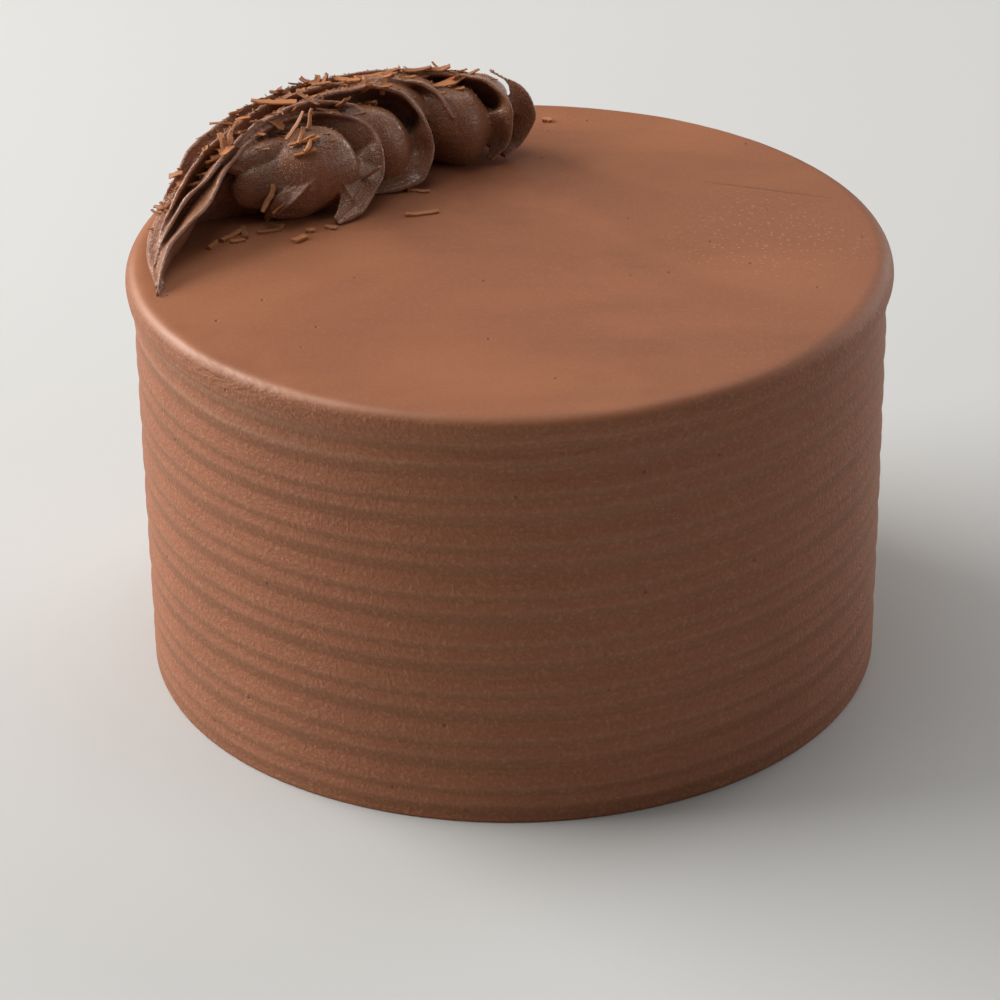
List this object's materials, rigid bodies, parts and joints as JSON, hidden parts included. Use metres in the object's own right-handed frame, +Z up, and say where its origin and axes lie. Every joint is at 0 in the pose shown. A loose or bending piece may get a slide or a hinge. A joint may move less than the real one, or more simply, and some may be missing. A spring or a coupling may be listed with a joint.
{
  "type": "layer cake",
  "caption": "Round iced chocolate layer cake with combed sides and a piped, shaving-strewn garland on the edge of its top.",
  "frame": {"origin": "centre of the cake's flat base", "axes": "+Z up through the cake's middle, -Y towards the front, the piped garland at the back left (-X, +Y)"},
  "size_m": [0.203, 0.203, 0.1453],
  "materials": {
    "milk_chocolate_icing": "satin chocolate buttercream, combed on the sides",
    "dark_chocolate_piping": "soft sheen on dark chocolate buttercream",
    "chocolate_shaving": "dry shaved chocolate"
  },
  "bodies": {
    "root": {"cake": "milk_chocolate_icing", "piped_garland": "dark_chocolate_piping"}
  },
  "joints": []
}
